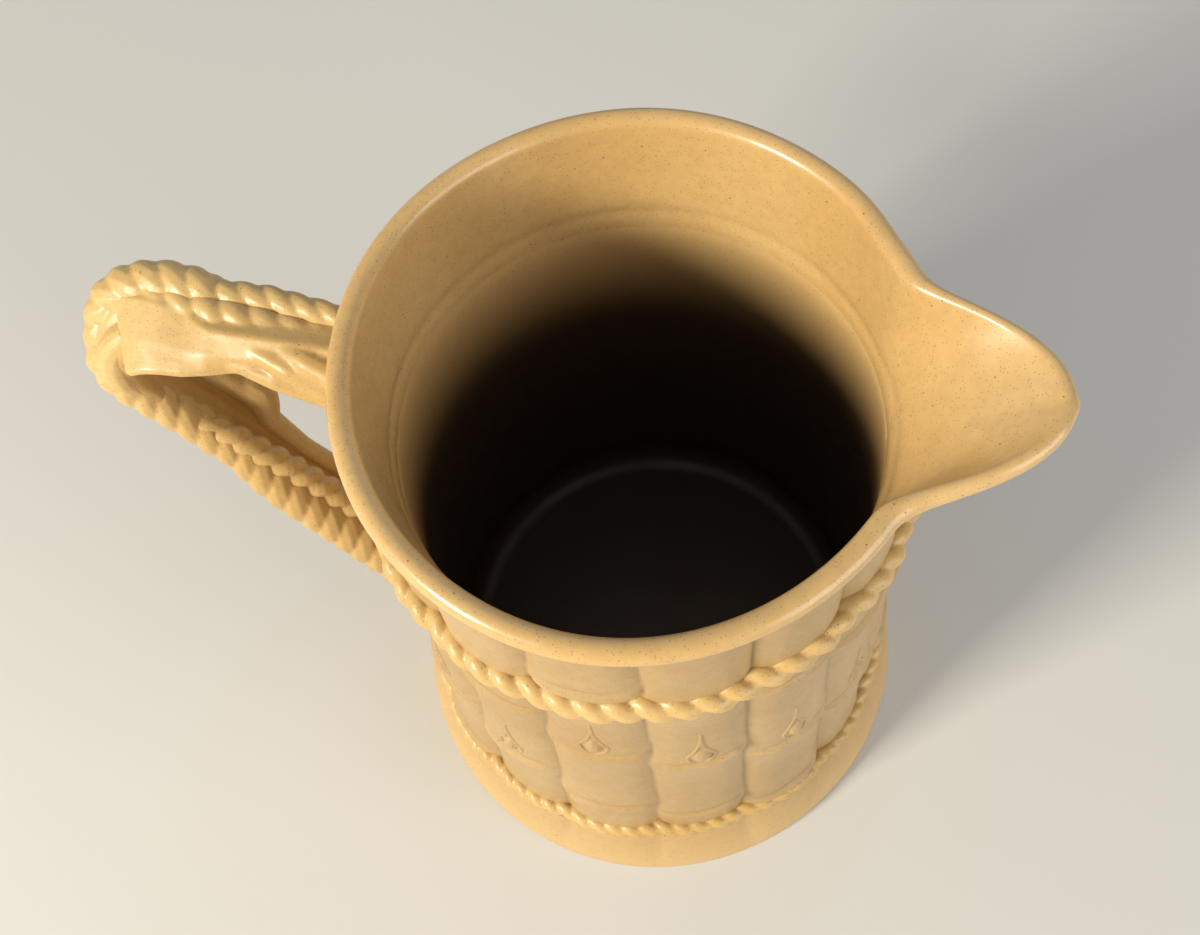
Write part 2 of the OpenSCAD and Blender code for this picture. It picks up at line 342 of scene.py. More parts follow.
# height of the joint between canes and rim, which dips under the lip
def seamHeight(angle):
    share = np.clip((np.degrees(angle) - vessel["lipTurn"]) / vessel["seamFlank"], -1, 1)
    return vessel["seam"] - vessel["seamDrop"] * np.cos(share * math.pi / 2) ** vessel["seamRound"]


# how much painted shade the inside of the jug takes at a height
def paintedInsideShade(height):
    return sum(share * smoothStep(top, low, height) for share, top, low in vessel["paintedShadeSteps"])


canes = {
    "count": 16,
    "radius": 57.5 * mm,
    "flare": 2.6 * mm,       # how much further out the canes stand at the foot
    "flareTop": 100 * mm,
    "groove": 2.3 * mm,
    "roundness": 3.0,        # a higher power gives flatter faces
    "soft": 0.1 * mm,        # rounding in the grooves
    "belly": 1.2 * mm,       # the near side stands out of round by this much
    "bellyAt": -90,
    "bellyHalf": 45,
    "ringBase": 57 * mm,     # lowest of the middle rings
    "ringPitch": 42 * mm,
    "ringStep": 9 * mm,      # from one cane's rings to the next higher ones
    "ringRise": 1.0 * mm,
    "ringHalf": 0.75 * mm,
    "ringDip": 0.35,         # dip above each ring, as a share of its rise
    "ringEnds": 6,           # a higher power carries the rings further into the grooves
    "nodeSwell": 0.5 * mm,
    "nodeHalf": 6 * mm,
    "nodeMean": 0.4,         # taken off the swell, so that the canes keep their radius
    "nodeWiden": 0.05,
    "wander": 0.25 * mm,     # slow unevenness along each cane
    "wanderPace": 18,
}


def ringHeights(i):
    base = canes["ringBase"] + canes["ringStep"] * ((3 * i + 3) % 4)    # four levels in turn
    return [base + canes["ringPitch"] * k for k in (-1, 0, 1)]


# spread of the vessel towards its foot
def spreadAt(height):
    drop = canes["flareTop"] - vessel["footTop"]
    return canes["flare"] * np.clip((canes["flareTop"] - height) / drop, 0, 1)


def bellyAt(angle):
    return canes["belly"] * hump(np.degrees(angle), canes["bellyAt"], canes["bellyHalf"])


# radius of the cane bundle: the outermost of three neighbouring canes, with soft grooves
def caneRadius(angle, height):
    step = 2 * math.pi / canes["count"]
    nearest = np.rint(angle / step).astype(int)
    rings = np.array([ringHeights(i) for i in range(canes["count"])])
    ringHalf, soft = canes["ringHalf"], canes["soft"]
    rows = []
    for offset in (-1, 0, 1):
        i = (nearest + offset) % canes["count"]
        across = np.abs(angle - (nearest + offset) * step) / (step / 2)
        swell = np.zeros_like(height)
        ring = np.zeros_like(height)
        for level in rings[i].T:
            swell += hump(height, level, canes["nodeHalf"])
            ring += hump(height, level, ringHalf)
            ring -= canes["ringDip"] * hump(height - level, 2 * ringHalf, ringHalf)
        face = np.clip(1 - across ** canes["ringEnds"], 0, 1)
        phase = 2.7 * i + 0.4    # each cane wanders in its own way
        wander = canes["wander"] * np.sin(phase + canes["wanderPace"] * height)
        across = across / (1 + canes["nodeWiden"] * swell)
        rows.append(canes["radius"] - canes["groove"] * across ** canes["roundness"] + wander
                    + canes["nodeSwell"] * (swell - canes["nodeMean"])
                    + canes["ringRise"] * ring * face)
    top = np.max(rows, axis=0)
    top = top + soft * np.log(sum(np.exp((r - top) / soft) for r in rows)) - soft * 0.3
    return top + spreadAt(height) + bellyAt(angle)


# wall of the vessel: canes outside, plain bore inside

wall = {
    "outRows": 140,
    "inRows": 24,
    "squeeze": 118 * mm,     # rows above this close up under the lip
}


def makeWall():
    low, high, squeeze = vessel["footTop"], vessel["seam"], wall["squeeze"]
    outer = [(canes["radius"], z) for z in np.linspace(low, high, wall["outRows"])]
    inner = [(vessel["bore"], z) for z in np.linspace(vessel["neck"], low, wall["inRows"])]
    section = outer + inner
    piece = spinSection("bodyWall", section, vessel["columns"])
    points = readPoints(piece)
    radius, angle = polar(points)
    outside = sectionRow(points, section) < len(outer)
    height = points[:, 2].copy()
    share = np.clip((height - squeeze) / (high - squeeze), 0, 1)
    closed = squeeze + share * (seamHeight(angle) - squeeze)
    height = np.where(outside & (share > 0), closed, height)
    radius = np.where(outside, caneRadius(angle, height), radius + spreadAt(height))
    writePoints(piece, fromPolar(radius, angle, height))
    # painted shade on the bore, deepening downwards
    writeMask(piece, "inside", np.where(outside, 0, paintedInsideShade(height)))
    # the bore takes the rim's paler glaze tone in full
    writeMask(piece, "thin", np.where(outside, 0, 1))
    smoothFaces(piece, vessel["sharp"])
    finishPiece(piece, bodyGlaze, "body_glaze", "near_wall", "far_wall")


makeWall()


# rim and pouring lip in one pull

lip = {
    "reach": 22.4 * mm,
    "rise": 4 * mm,
    "flank": 28.5,           # degrees from the lip's middle
    "full": 2.45,            # a lower power gives a rounder lip
    "tipPoint": 0.35 * mm,   # little corner where the two sides of the lip meet
    "tipWidth": 1.4,         # degrees
    "thin": 0.2,             # share of its thickness that the edge loses there
    "curve": 1.55,           # a higher power gives a hollower outside
    "rollStart": -18,        # degrees at which the outside turns into the rolled edge
    "flare": 0.45,           # added to the power of the inner flare
}
rim = {
    "outRows": 20,
    "rollRows": 18,
    "inRows": 48,
    "rollStart": -50,
    "flare": 1.2,
    # places where the rim is out of round: degrees, half width in degrees, amount
    "warp": ((36, 11, -1.2 * mm), (-87, 32, 2.3 * mm), (95, 36, 0.7 * mm)),
    "wobble": 0.2 * mm,      # five times round, outwards
    "nod": 0.3 * mm,         # three times round, upwards
    "line": 0.3 * mm,        # turned line where the flare leaves the bore
    "lineAt": 5 * mm,        # above the neck
    "lineHalf": 1.6 * mm,
}


def lipSwell(angle):
    share = np.clip((np.degrees(angle) - vessel["lipTurn"]) / lip["flank"], -1, 1)
    return (1 - share ** 2) ** lip["full"]


def makeRim():
    outRows, rollRows, inRows = rim["outRows"], rim["rollRows"], rim["inRows"]
    rows = outRows + rollRows + inRows
    loop = 3 * mm            # a plain ring, which then takes the shape of the rim
    section = [(vessel["rimRadius"] + loop * math.cos(2 * math.pi * k / rows),
                vessel["rimTop"] + loop * math.sin(2 * math.pi * k / rows)) for k in range(rows)]
    piece = spinSection("rimAndLip", section, vessel["columns"])
    points = readPoints(piece)
    _, angle = polar(points)
    row = sectionRow(points, section)
    degrees = np.degrees(angle)
    swell = lipSwell(angle)
    plain = 1 - swell
    corner = lip["tipPoint"] * hump(degrees, vessel["lipTurn"], lip["tipWidth"])
    wobble = rim["wobble"] * np.sin(5 * angle)
    for place, half, rise in rim["warp"]:
        wobble += rise * hump(degrees, place, half)
    half = vessel["rimThick"] / 2 * (1 - lip["thin"] * swell)
    edge = vessel["rimRadius"] + lip["reach"] * swell + corner + wobble * plain - half
    nod = rim["nod"] * np.sin(3 * angle + 1) * plain
    crown = vessel["rimTop"] - half + lip["rise"] * swell + nod
    seam = seamHeight(angle)
    cane = caneRadius(angle, seam)

    # outer curve, up to where the edge rolls over
    start = np.radians(rim["rollStart"]) * plain ** 2 + np.radians(lip["rollStart"]) * swell
    rollR, rollZ = edge + half * np.cos(start), crown + half * np.sin(start)
    t = row / outRows
    outR = cane + (rollR - cane) * t ** (1 + (lip["curve"] - 1) * np.clip(swell * 2, 0, 1))
    outZ = seam + (rollZ - seam) * t
    # inner flare, which leaves the roll without a crease
    power = rim["flare"] + lip["flare"] * swell
    slope = np.zeros_like(angle)
    for _ in range(6):
        endR, endZ = edge - half * np.cos(slope), crown + half * np.sin(slope)
        slope = np.arctan(power * (endR - vessel["bore"]) / (endZ - vessel["neck"]))
    b = start + (math.pi - slope - start) * (row - outRows) / rollRows
    rollR, rollZ = edge + half * np.cos(b), crown + half * np.sin(b)
    t = 1 - (row - outRows - rollRows) / (inRows - 1)
    inR = vessel["bore"] + (endR - vessel["bore"]) * np.clip(t, 0, 1) ** power
    inZ = vessel["neck"] + (endZ - vessel["neck"]) * t
    inR += rim["line"] * hump(inZ - vessel["neck"], rim["lineAt"], rim["lineHalf"])

    isOut, isRoll = row < outRows, (row >= outRows) & (row < outRows + rollRows)
    radius = np.where(isOut, outR, np.where(isRoll, rollR, inR))
    height = np.where(isOut, outZ, np.where(isRoll, rollZ, inZ))
    writePoints(piece, fromPolar(radius, angle, height))
    # faint painted shade where the rim's inner flare comes down to the bore
    writeMask(piece, "inside", np.where(isOut | isRoll, 0, paintedInsideShade(height)))
    bpy.ops.object.mode_set(mode="EDIT")
    bpy.ops.mesh.select_all(action="SELECT")
    bpy.ops.mesh.normals_make_consistent(inside=False)
    bpy.ops.object.mode_set(mode="OBJECT")
    smoothFaces(piece, vessel["sharp"])
    finishPiece(piece, rimGlaze, "rim_glaze", "rim_collar", "pouring_lip")


makeRim()


# floor and spreading foot

foot = {
    "columns": 384,
    "floor": 9 * mm,
    "corner": 6 * mm,        # rounding between floor and bore
    "toe": 1.1 * mm,         # rounding at the table
    "edge": 2.5 * mm,        # height at which the flare starts
    "flare": 1.35,           # a higher power gives a hollower flare
    "ledge": 0.4 * mm,       # how far its top stands out past the canes
    "facet": 0.5,            # how much of the canes still shows on the foot
    "thin": 0.25,            # paler tone on the foot, painted bounce light from the table: share at the top, and what comes on by the table
    "bounceMore": 0.45,
    "bare": 0.6 * mm,        # the clay is bare below this height
    "sharp": 40,             # degrees
}


def arc(centre, radius, start, end, count):
    turn = np.radians(np.linspace(start, end, count))
    return [(centre[0] + radius * math.cos(a), centre[1] + radius * math.sin(a)) for a in turn]


def makeFoot():
    top, wide, edge, toe = vessel["footTop"], vessel["footRadius"], foot["edge"], foot["toe"]
    bore = vessel["bore"] + canes["flare"]
    joint = canes["radius"] + canes["flare"]
    neck = joint + foot["ledge"]
    bend = bore - foot["corner"]
    section = [(0, 0), (0.5 * wide, 0), (wide - 4 * mm, 0)]
    section += arc((wide - toe, toe), toe, -90, 0, 7)
    flareStart = len(section)
    section += [(wide - (wide - neck) * s ** foot["flare"], edge + (top - edge) * s)
                for s in np.linspace(0, 1, 26)]
    flareEnd = len(section)
    section += [(bore + 2 * mm, top)]
    section += arc((bend, top), foot["corner"], 0, -90, 12)
    section += [(bend - s * mm, foot["floor"]) for s in (0.6, 2, 8, 20, 34)]
    section += [(0, foot["floor"])]
    piece = spinSection("footAndFloor", section, foot["columns"])
    points = readPoints(piece)
    height = points[:, 2]
    radius, angle = polar(points)
    row = sectionRow(points, section)
    onFlare = (row >= flareStart) & (row < flareEnd)
    belly = bellyAt(angle)
    relief = caneRadius(angle, np.full_like(angle, top)) - joint - belly
    fade = 0.3 + 0.7 * smoothStep(0, top, height)
    radius = radius + np.where(onFlare, foot["facet"] * relief * fade, 0)
    belly = belly * smoothStep(0.3 * wide, 0.8 * wide, radius)
    radius = radius + np.where(row < flareEnd, belly, 0)
    writePoints(piece, fromPolar(radius, angle, height))
    # the floor inside the jug takes the full painted shade
    writeMask(piece, "inside", np.where(row > flareEnd, 1, 0))
    # painted bounce light: the foot takes the paler tone, more of it towards the table
    thin = foot["thin"] + foot["bounceMore"] * smoothStep(top, 0, height)
    writeMask(piece, "thin", np.where(row <= flareEnd, thin, 0))
    writeMask(piece, "bare", np.where(height < foot["bare"], 1, 0))
    smoothFaces(piece, foot["sharp"])
    finishPiece(piece, bodyGlaze, "body_glaze", "base_foot")


makeFoot()


# rope bands round the canes

band = {
    "strands": 2,
    "sink": 0.15,            # share of the strand's radius
    "follow": 0.45,          # how far the rope follows the grooves
    "points": 16,            # along one turn of a strand
    "voxel": 0.42 * mm,
    "wear": 4,
}
# waves are places where the rope hangs lower or higher: degrees, half width in degrees, amount
upperRope = {
    "strand": 2.2 * mm,      # radius
    "laid": 1.2 * mm,        # how far the strands stand off the rope's middle
    "lump": 6.2 * mm,
    "waves": ((-95, 35, -2 * mm), (-30, 22, 3 * mm)),
}
lowerRope = {
    "strand": 1.65 * mm,
    "laid": 0.8 * mm,
    "lump": 4.6 * mm,
    "waves": ((-85, 60, 1.5 * mm),),
}


def makeBand(name, node, rope):
    low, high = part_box(node)
    around = math.pi * (high.x - low.x)
    turns = round(around / (band["strands"] * rope["lump"]))
    angle = np.linspace(0, 2 * math.pi, turns * band["points"], endpoint=False)
    wrapped = np.arctan2(np.sin(angle), np.cos(angle))
    middle = np.full_like(angle, (low.z + high.z) / 2)
    for place, half, rise in rope["waves"]:
        middle += rise * hump(np.degrees(wrapped), place, half)
    smooth = canes["radius"] + spreadAt(middle) + bellyAt(wrapped)
    bed = smooth + band["follow"] * (caneRadius(wrapped, middle) - smooth)
    bed = bed - band["sink"] * rope["strand"]
    runs = []
    for k in range(band["strands"]):
        lay = -turns * angle + 2 * math.pi * k / band["strands"]
        points = fromPolar(bed + rope["laid"] * np.cos(lay), angle, middle + rope["laid"] * np.sin(lay))
        runs.append((points, np.full(len(angle), rope["strand"])))
    piece = rollClay(name, runs, closed=True)
    fuseClay(piece, band["voxel"], band["wear"])
    finishPiece(piece, ropeGlaze, "rope_glaze", node)


makeBand("upperRope", "upper_rope", upperRope)
makeBand("lowerRope", "lower_rope", lowerRope)


# buds: a raised eye in a thin line that is drawn up into a stem, over the middle ring of each cane

bud = {
    "rise": 6.5 * mm,        # above the ring
    "half": 3.1 * mm,
    "low": 4.4 * mm,
    "stem": 14 * mm,         # from the middle of the eye to the stem's tip
    "line": 0.5 * mm,
    "eyeHalf": 2.3 * mm,
    "eyeTall": 3.4 * mm,
    "eyeRise": 1.3 * mm,
    "voxel": 0.24 * mm,
    "wear": 2,
}


def makeBuds():
    step = 2 * math.pi / canes["count"]
    runs = []

    def addRun(i, side, height, radii, sink):
        angle = i * step + side / canes["radius"]
        angle = np.arctan2(np.sin(angle), np.cos(angle))
        runs.append((fromPolar(caneRadius(angle, height) - sink, angle, height), radii))

    rise = np.linspace(0, 1, 24)
    flank = bud["half"] * (1 - rise) ** 3
    under = np.linspace(0, math.pi, 18)
    share = np.linspace(-1, 1, 15)
    eye = bud["eyeHalf"] * np.sqrt(np.clip(1.02 - share ** 2, 0.02, 1))
    for i in range(canes["count"]):
        if i == canes["count"] // 2:
            continue             # the handle stands on this cane
        level = ringHeights(i)[1] + bud["rise"]
        # the line: up both flanks to the tip, and round below the eye
        for side, height in ((-flank, bud["stem"] * rise), (flank, bud["stem"] * rise),
                             (bud["half"] * np.cos(under), -bud["low"] * np.sin(under))):
            addRun(i, side, level + height, np.full_like(side, bud["line"]), bud["line"] / 3)
        addRun(i, 0 * share, level + bud["eyeTall"] * share, eye, bud["eyeHalf"] - bud["eyeRise"])
    piece = rollClay("caneBuds", runs)
    fuseClay(piece, bud["voxel"], bud["wear"])
    finishPiece(piece, bodyGlaze, "body_glaze", "cane_buds")


makeBuds()


# handle: everything follows one middle line, level, round the turn and down to the wall

handle = {
    "limb": 139 * mm,        # height of the upper limb
    "turnR": 14 * mm,
    "turnX": -99.5 * mm,
    "rootX": -59.2 * mm,     # where the middle line of the lower limb meets the wall
    "root": 45.5 * mm,
    "wallX": -54.5 * mm,     # both ends run this far into the wall
    "trim": 54.5 * mm,       # radius inside the wall at which the roots stop
    "voxel": 0.42 * mm,
    "step": 0.8,             # between the points of a roll, in mm
}
handle["turnZ"] = handle["limb"] - handle["turnR"]
toRoot = Vector((handle["rootX"] - handle["turnX"], handle["root"] - handle["turnZ"]))
rootTurn = math.atan2(toRoot.y, toRoot.x) - math.acos(handle["turnR"] / toRoot.length)
handle["turnEnd"] = 2 * math.pi + rootTurn
handle["turnLen"] = handle["turnR"] * (handle["turnEnd"] - math.pi / 2)
handle["upper"] = handle["wallX"] - handle["turnX"]
endX = handle["turnX"] + handle["turnR"] * math.cos(handle["turnEnd"])
handle["lower"] = (handle["wallX"] - endX) / -math.sin(handle["turnEnd"])

# places along the middle line, in mm: the upper root, the end of the turn and the lower root
up = -handle["upper"] / mm
bend = handle["turnLen"] / mm
down = (handle["turnLen"] + handle["lower"]) / mm
print("handle runs from", round(up), "by", round(bend), "to", round(down), "mm")


# point beside the middle line, d along it: minus at the upper limb, 0 where the turn begins
def handlePoint(d, out, side):
    d = np.asarray(d, dtype=float)
    along = np.clip(d, 0, handle["turnLen"])
    turn = math.pi / 2 + along / handle["turnR"]
    reach = handle["turnR"] + out
    x = handle["turnX"] + reach * np.cos(turn)
    z = handle["turnZ"] + reach * np.sin(turn)
    before = np.minimum(d, 0)
    after = np.maximum(d - handle["turnLen"], 0)
    x = x - before - after * math.sin(handle["turnEnd"])
    z = z + after * math.cos(handle["turnEnd"])
    return np.stack([x, side + 0 * x, z], axis=1)


# a rope laid beside the middle line, square to its own path
# its path has (d, out, side, rope radius, share of it that the strands stand off), in mm
def laidRope(rope):
    table = np.array(rope["path"], dtype=float)
    strands = rope["strands"]
    d = np.arange(table[0, 0], table[-1, 0], handle["step"])
    out, side, radius, share = (np.interp(d, table[:, 0], table[:, k]) for k in range(1, 5))
    middle = handlePoint(d * mm, out * mm, side * mm)
    steps = np.linalg.norm(np.diff(middle, axis=0), axis=1) / mm
    travel = np.concatenate([[0], np.cumsum(steps)])
    ahead = np.gradient(middle, axis=0)
    ahead /= np.linalg.norm(ahead, axis=1, keepdims=True)
    upright = handlePoint(d * mm, (out + 1) * mm, side * mm) - middle
    upright -= ahead * np.sum(upright * ahead, axis=1, keepdims=True)
    upright /= np.linalg.norm(upright, axis=1, keepdims=True)
    level = np.cross(ahead, upright)
    laid = radius * share
    runs = []
    for k in range(strands):
        turn = rope["lay"] * 2 * math.pi * travel / (strands * rope["lump"])
        turn = turn + 2 * math.pi * k / strands
        stand = (laid * np.cos(turn))[:, None] * upright + (laid * np.sin(turn))[:, None] * level
        runs.append((middle + stand * mm, (radius - laid) * mm))
    return runs


# a smooth roll: its path has (d, out, side, radius), in mm
def plainRoll(path):
    table = np.array(path, dtype=float) * mm
    step = handle["step"] * mm
    d = np.arange(table[0, 0], table[-1, 0] + step / 2, step)
    out, side, radius = (np.interp(d, table[:, 0], table[:, k]) for k in range(1, 4))
    return [(handlePoint(d, out, side), radius)]


# a bar with a cornered section, filled with rolls: stations are (d, corners as (out, side)), in mm
def corneredBar(stations, grain):
    reach = [d for d, _ in stations]
    outline = np.array([corners for _, corners in stations], dtype=float)
    middle = outline.mean(axis=1, keepdims=True)
    count = outline.shape[1]
    runs = []
    for shrink in (1, 0.66, 0.33):
        ring = middle + shrink * (outline - middle)
        for k in range(count):
            a, b = ring[:, k], ring[:, (k + 1) % count]
            steps = math.ceil(np.linalg.norm(b - a, axis=1).max() / grain)
            for j in range(steps):
                line = a + (b - a) * j / steps
                runs += plainRoll([(d, *place, grain) for d, place in zip(reach, line)])
    return runs


# ends inside the wall are pressed flat against it
def trimRoot(piece):
    points = readPoints(piece)
    radius, angle = polar(points)
    writePoints(piece, fromPolar(np.maximum(radius, handle["trim"]), angle, points[:, 2]))


def makeHandle(name, runs, wear, glaze, slot, *nodes):
    piece = rollClay(name, runs)
    fuseClay(piece, handle["voxel"], wear)
    trimRoot(piece)
    finishPiece(piece, glaze, slot, *nodes)


# smooth strap under the ropes, narrower on the far side below the knot
strap = {
    "across": (-5.6, -2.8, 0, 2.8, 5.6),
    "roll": 3,               # radius
    "nearEdge": -4.6,        # on the upper limb
    "farEdge": 0.8,          # on the lower limb, below the knot
    "wear": 8,
}


def makeStrap():
    roll = strap["roll"]
    runs = []
    for across in strap["across"]:
        near, far = max(across, strap["nearEdge"]), min(across, strap["farEdge"])
        runs += plainRoll([(up, 0, near, roll), (-4, 0, near, roll), (bend + 15, 0, across, roll),
                           (bend + 26, 0, far, roll), (down, 0, far, roll)])
    # the strap takes the darker glaze, painted shade for the loop's inner face
    makeHandle("handleWeb", runs, strap["wear"], paintedShadeStrapGlaze, "handle_glaze", "handle_web")


makeStrap()


# long rope: along the far edge on top, over to the near side round the turn, down the near edge
longRope = {
    "strands": 3,
    "lump": 5.6,             # length of one lump
    "lay": 1,                # -1 lays the strands the other way
    "wear": 2,
    "path": [
        (up, 2.5, 4.0, 2.2, 0.1), (up + 10, 3.6, 5.8, 3.0, 0.28), (-20, 4.2, 6.8, 3.6, 0.3),
        (-9, 4.2, 6.2, 4.0, 0.3), (-6.5, 4.6, 6.4, 5.0, 0.3), (0, 4.8, 7.0, 5.2, 0.3),
        (3, 5.0, 7.0, 5.3, 0.3), (8, 6.0, 6.0, 5.4, 0.3), (11, 6.3, 4.8, 5.4, 0.3),
        (13.5, 6.3, 3.4, 5.4, 0.3), (16, 5.5, 1.4, 5.4, 0.3), (18, 4.6, -1.2, 5.4, 0.3),
        (20.5, 4.0, -3.6, 5.3, 0.3), (24, 3.1, -4.8, 5.3, 0.3), (bend, 2.2, -4.9, 5.2, 0.3),
        (bend + 14, 1.2, -5.4, 5.2, 0.3), (57, 1.0, -6.0, 5.3, 0.3), (66, 1.2, -7.6, 5.7, 0.3),
        (75, 1.4, -8.6, 6.0, 0.3), (88, 1.6, -8.8, 6.3, 0.3), (down, 2.6, -9.0, 8.0, 0.3)],
    # two rolls that fill the gap between the rope and the strap round the turn
    "outerFilling": [(4, 2.6, 4.0, 3.4), (10, 3.4, 2.0, 4.2), (16, 3.2, -1.6, 4.2),
                     (22, 2.2, -4.0, 4.0), (bend + 4, 1.2, -4.4, 3.6)],
    "nearFilling": [(8, 2.0, -3.0, 3.0), (15, 2.2, -5.2, 3.6), (22, 1.4, -6.4, 3.4),
                    (bend + 2, 0.8, -5.6, 3.0)],
}
filling = plainRoll(longRope["outerFilling"]) + plainRoll(longRope["nearFilling"])
makeHandle("handleLongRope", laidRope(longRope) + filling, longRope["wear"],
           ropeGlaze, "rope_glaze", "handle_near_rope", "handle_far_rope")

# rope on the far edge of the lower limb, out of the turn
lowRope = {
    "strands": 3,
    "lump": 6.2,
    "lay": 1,
    "wear": 3,
    "path": [
        (8, 1.6, 4.6, 3.4, 0.2), (bend, 2.6, 4.6, 4.4, 0.32), (bend + 14, 2.4, 3.8, 4.2, 0.32),
        (bend + 26, 2.0, 1.0, 3.8, 0.32), (down, 2.0, 0.8, 3.8, 0.32)],
}
makeHandle("handleLowRope", laidRope(lowRope), lowRope["wear"],
           ropeGlaze, "rope_glaze", "handle_far_rope")

# upper bar: a ridge between its top and its near cheek, cut square where the turn begins
upperBar = {
    "grain": 1.3,            # radius of the rolls that fill it
    "wear": 7,
    "corners": [
        (up, [(2.6, 3.4), (4.2, -2.6), (1.6, -5.6), (-1.0, -6.0), (-2.4, -5.0), (-1.8, 2.0)]),
        (-24, [(3.2, 4.0), (4.8, -2.8), (2.2, -5.8), (-0.4, -6.6), (-1.6, -5.8), (-1.8, 2.0)]),
        (-15, [(3.4, 4.4), (4.8, -2.8), (2.0, -6.0), (-0.8, -7.2), (-2.2, -6.0), (-1.8, 2.0)]),
        (-10, [(3.4, 4.4), (4.8, -2.4), (2.0, -6.4), (-0.6, -8.8), (-2.2, -7.2), (-1.8, 2.0)]),
        (-5, [(3.6, 4.4), (5.2, 0.0), (2.0, -6.0), (-0.8, -9.8), (-2.4, -8.2), (-1.8, 2.0)]),
        (2, [(4.6, 4.4), (6.2, 1.2), (2.4, -5.4), (-0.9, -10.2), (-2.6, -8.6), (-1.8, 2.0)]),
        (8.5, [(5.2, 4.6), (7.2, 2.6), (2.8, -4.8), (-1.0, -10.4), (-2.8, -8.8), (-1.8, 2.0)])],
    # faint fold along its cheek
    "fold": [(-13, 4.3, -2.8, 0.6), (-7, 4.2, -2.7, 0.95), (0, 4.1, -2.6, 1.0), (8, 3.9, -2.8, 0.9)],
    # thick strands that spread over the upper root, the last of them under the others
    "rootStrands": [
        [(up, -1.0, -7.0, 3.4), (up + 6, 1.0, -7.0, 3.3), (up + 13, 2.8, -5.2, 2.9),
         (up + 20, 3.2, -2.8, 2.2), (up + 27, 3.6, -1.0, 1.2)],
        [(up, -5.6, -7.6, 3.5), (up + 9, -1.8, -7.8, 3.3), (up + 17, 1.2, -6.4, 2.9),
         (up + 24, 2.6, -4.4, 2.2), (up + 32, 3.6, -3.0, 1.0)],
        [(up, -9.4, -7.0, 3.5), (up + 9, -5.4, -7.4, 3.3), (up + 20, -1.9, -7.4, 2.8),
         (up + 29, 0.3, -6.5, 1.9), (up + 36, 1.2, -5.6, 0.8)],
        [(up, -5, -4, 4.2), (up + 9, -2, -4, 3.8), (up + 20, 0, -4, 3.2)]],
}
# second row of lumps on it, between the ridge and the long rope
secondRow = {
    "strands": 2,
    "lump": 6.2,
    "lay": 1,
    "path": [
        (up + 12, 2.4, 2.2, 2.4, 0.2), (-20, 3.2, 2.4, 3.6, 0.22), (-12, 3.9, 2.2, 3.9, 0.24),
        (-4, 4.7, 2.8, 3.6, 0.24), (4, 5.4, 4.0, 3.0, 0.22), (10, 5.2, 4.8, 2.2, 0.2)],
}


def makeUpperBar():
    runs = corneredBar(upperBar["corners"], upperBar["grain"])
    runs += plainRoll(upperBar["fold"])
    runs += laidRope(secondRow)
    for path in upperBar["rootStrands"]:
        runs += plainRoll(path)
    makeHandle("handleUpperBar", runs, upperBar["wear"], ropeGlaze, "rope_glaze", "handle_near_rope")


makeUpperBar()


# second row along the inner face of the lower limb, laid the other way
nearStrand = {
    "strands": 2,
    "lump": 5.4,
    "lay": -1,
    "wear": 1,
    "path": [
        (bend + 10, -1.0, -6.2, 2.2, 0.3), (bend + 20, -2.8, -5.8, 3.3, 0.36),
        (bend + 36, -3.2, -5.8, 3.8, 0.38), (down - 16, -3.6, -6.2, 4.1, 0.38),
        (down, -4.2, -6.4, 4.8, 0.34)],
}
makeHandle("handleNearStrand", laidRope(nearStrand), nearStrand["wear"],
           ropeGlaze, "rope_glaze", "handle_near_strand")

# strand on the far side, with its knot, fading to a ridge
farStrand = {
    "strands": 4,
    "lump": 16,
    "lay": 1,
    "wear": 3,
    "path": [
        (bend - 8, -1.6, 5.0, 1.6, 0.1), (bend + 2, -2.8, 5.6, 3.0, 0.24),
        (bend + 13, -3.2, 5.8, 3.6, 0.28), (bend + 19, -3.6, 6.2, 4.0, 0.16)],
    "knot": [
        (bend + 14, -3.0, 6.2, 3.0), (bend + 19, -3.8, 6.8, 4.5), (bend + 22, -4.0, 6.8, 4.7),
        (bend + 25, -3.4, 5.2, 3.9), (bend + 28, -2.4, 2.8, 3.1), (bend + 40, -1.8, 1.4, 2.8),
        (down, -1.4, 1.2, 2.8)],
}
makeHandle("handleFarStrand", laidRope(farStrand) + plainRoll(farStrand["knot"]), farStrand["wear"],
           ropeGlaze, "rope_glaze", "handle_far_strand")
print("handle done")


# floor, light and camera

stage = {
    "floorSize": 6,
    "floorTone": (0.62, 0.61, 0.58, 1),
    "floorRough": 0.85,
    "skyTone": (0.93, 0.96, 1, 1),
    "skyStrength": 0.36,
    "lampAim": (0, 0, 0.1),
    # place, size, watts, tint
    "lamps": {
        "keyLamp": ((-0.78, -0.84, 0.6), 0.3, 21, (1, 0.93, 0.78)),
        "fillLamp": ((1.0, -0.35, 0.36), 0.8, 8, (1, 0.97, 0.92)),
        "backLamp": ((0.1, 1.0, 0.8), 0.9, 1.5, (1, 1, 1)),
    },
}


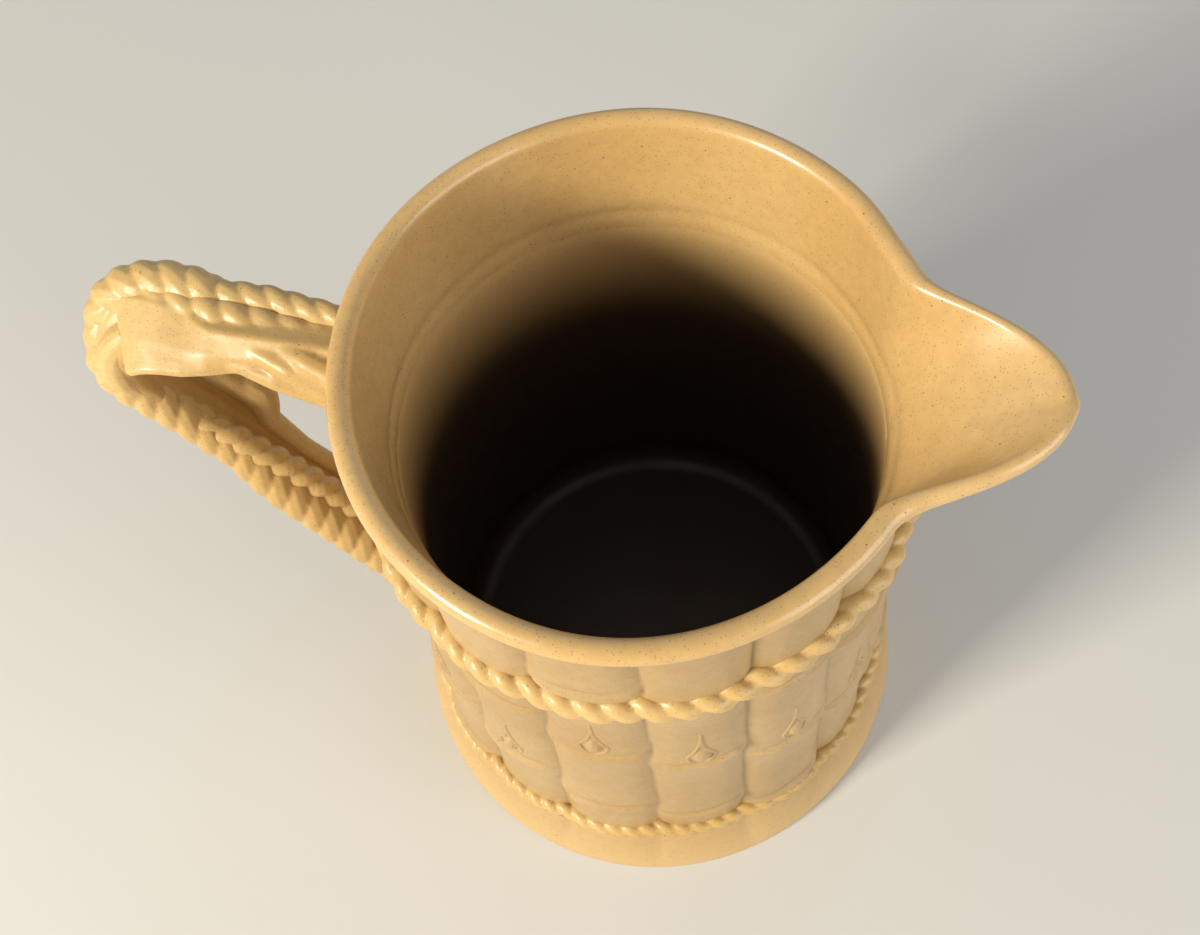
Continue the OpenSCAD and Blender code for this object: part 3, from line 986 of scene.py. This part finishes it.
def makeFloor():
    clearSelection()
    bpy.ops.mesh.primitive_plane_add(size=stage["floorSize"])
    floor = bpy.context.object
    floor.name = "floor"
    material = bpy.data.materials.new("paleFloor")
    material.use_nodes = True
    shader = material.node_tree.nodes["Principled BSDF"]
    shader.inputs["Base Color"].default_value = stage["floorTone"]
    shader.inputs["Roughness"].default_value = stage["floorRough"]
    floor.data.materials.append(material)


def makeLamp(name, place, size, power, tint):
    clearSelection()
    bpy.ops.object.light_add(type="AREA", location=place)
    lamp = bpy.context.object
    lamp.name = name
    lamp.data.size = size
    lamp.data.energy = power
    lamp.data.color = tint
    aim = Vector(stage["lampAim"]) - Vector(place)
    lamp.rotation_euler = aim.to_track_quat("-Z", "Y").to_euler()


def makeSky():
    world = bpy.data.worlds.new("studio")
    bpy.context.scene.world = world
    world.use_nodes = True
    sky = world.node_tree.nodes["Background"]
    sky.inputs["Color"].default_value = stage["skyTone"]
    sky.inputs["Strength"].default_value = stage["skyStrength"]


view = {
    "lens": 42,
    "sensor": 36,
    "azimuth": 17.21,
    "elevation": 63.32,
    "roll": -6.35,
    "distance": 265 * mm,    # from the middle of the rim
    "right": -0.63 * mm,
    "up": -22.13 * mm,
    "shift": -0.025,
    "nearest": 10 * mm,
}


def makeCamera():
    clearSelection()
    bpy.ops.object.camera_add()
    camera = bpy.context.object
    a, e, roll = (math.radians(view[key]) for key in ("azimuth", "elevation", "roll"))
    back = Vector((math.sin(a) * math.cos(e), -math.cos(a) * math.cos(e), math.sin(e)))
    flat = Vector((math.cos(a), math.sin(a), 0))
    tall = back.cross(flat)
    right = flat * math.cos(roll) + tall * math.sin(roll)
    upward = tall * math.cos(roll) - flat * math.sin(roll)
    spot = Vector((0, 0, vessel["rimTop"])) + back * view["distance"]
    spot = spot + right * view["right"] + upward * view["up"]
    turn = Matrix((right, upward, back)).transposed().to_4x4()
    camera.matrix_world = Matrix.Translation(spot) @ turn
    camera.data.lens = view["lens"]
    camera.data.sensor_width = view["sensor"]
    camera.data.shift_x = view["shift"]
    camera.data.clip_start = view["nearest"]
    bpy.context.scene.camera = camera


makeFloor()
for name, lamp in stage["lamps"].items():
    makeLamp(name, *lamp)
makeSky()
makeCamera()
bpy.context.scene.view_settings.view_transform = "Standard"
print("stage set")
